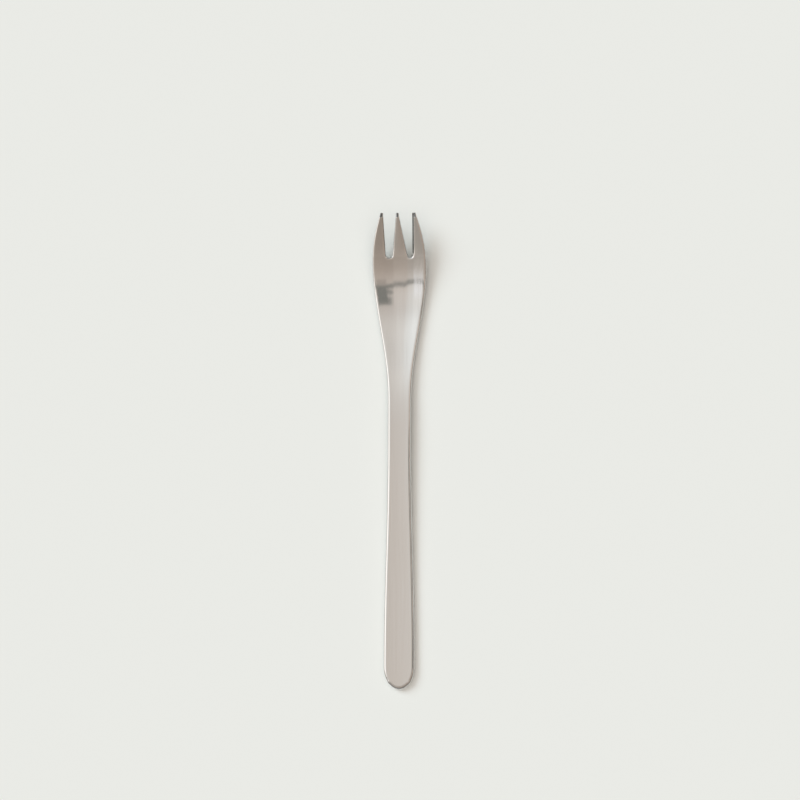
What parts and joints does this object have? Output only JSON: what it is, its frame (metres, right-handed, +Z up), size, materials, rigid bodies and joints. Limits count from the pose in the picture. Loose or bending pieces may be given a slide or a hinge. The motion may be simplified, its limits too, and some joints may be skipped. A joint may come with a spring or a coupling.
{
  "type": "fork",
  "caption": "Slim one-piece dessert fork in satin stainless steel: tapered tines, a shallow dished head, a narrow neck and a flat handle that widens to a round end.",
  "frame": {"origin": "on the table, under the middle of the fork's box, with the fork lying face up", "axes": "+Y from the handle's end to the tine tips, +Z up out of the fork's face, +X to the right seen from above with the tines pointing away"},
  "size_m": [0.0172, 0.15, 0.0089],
  "materials": {
    "satin_steel": "satin, with a fine grain along the length"
  },
  "bodies": {
    "root": {"fork": "satin_steel"}
  },
  "joints": []
}
